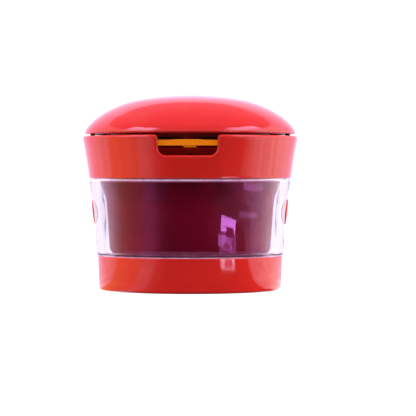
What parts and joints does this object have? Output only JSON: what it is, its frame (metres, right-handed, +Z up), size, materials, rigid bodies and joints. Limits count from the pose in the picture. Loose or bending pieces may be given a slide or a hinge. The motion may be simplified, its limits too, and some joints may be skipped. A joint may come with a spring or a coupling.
{
  "type": "pill splitter",
  "caption": "Round red pill splitter: hinged domed lid with a guarded steel blade, orange pill tray, turning crusher head in a clear cup, and a red base.",
  "frame": {"origin": "on the axis of the round body, in the plane it stands on", "axes": "+Z up along the body's axis, -Y towards the finger notch at the front, +Y towards the lid hinge"},
  "size_m": [0.073, 0.0767, 0.066],
  "materials": {
    "lid_red": "high gloss moulded plastic",
    "body_red": "semi-gloss moulded plastic",
    "core_red": "translucent red moulded plastic",
    "tray_orange": "semi-gloss moulded plastic",
    "clear": "clear moulded plastic",
    "pad_rubber": "soft matt rubber",
    "grip_rubber": "soft matt rubber",
    "sole_rubber": "matt rubber",
    "seal_silicone": "silicone",
    "inner_plastic": "satin moulded plastic",
    "guard_plastic": "semi-gloss moulded plastic",
    "blade_steel": "ground stainless steel",
    "screw_steel": "zinc plated",
    "pin_steel": "polished steel"
  },
  "bodies": {
    "base": {"base_shell": "body_red", "base_plate": "inner_plastic", "base_screws": "screw_steel", "rubber_sole": "sole_rubber", "clear_cup": "clear", "thumb_pad_right": "pad_rubber", "thumb_pad_left": "pad_rubber"},
    "seal": {"seal_ring": "seal_silicone"},
    "head": {"collar": "body_red", "inner_cup": "core_red", "cup_screws": "screw_steel", "pill_tray": "tray_orange", "tray_screws": "screw_steel", "pill_grips": "grip_rubber", "hinge_pin": "pin_steel"},
    "lid": {"lid_shell": "lid_red", "lid_liner": "inner_plastic", "liner_screws": "screw_steel", "lid_bumpers": "sole_rubber", "blade_holder": "inner_plastic", "blade": "blade_steel", "blade_clamp": "inner_plastic", "clamp_screws": "screw_steel", "guard_pin": "pin_steel", "guard_spring": "pin_steel"},
    "guard": {"blade_guard": "guard_plastic"}
  },
  "joints": [
    {"name": "head_lift", "type": "slide", "parent": "base", "child": "seal", "axis": [0, 0, 1], "range_m": [0, 0.03]},
    {"name": "crush_turn", "type": "hinge", "parent": "seal", "child": "head", "pos_m": [0, 0, 0], "axis": [0, 0, 1], "continuous": true},
    {"name": "lid_hinge", "type": "hinge", "parent": "head", "child": "lid", "pos_m": [0, 0.0382, 0.0527], "axis": [-1, 0, 0], "range_deg": [0, 105]},
    {"name": "guard_swing", "type": "hinge", "parent": "lid", "child": "guard", "pos_m": [0, 0.0215, 0.0568], "axis": [-1, 0, 0], "range_deg": [0, 9], "stiffness_Nm_per_rad": 0.006, "springref_deg": -20.05}
  ]
}
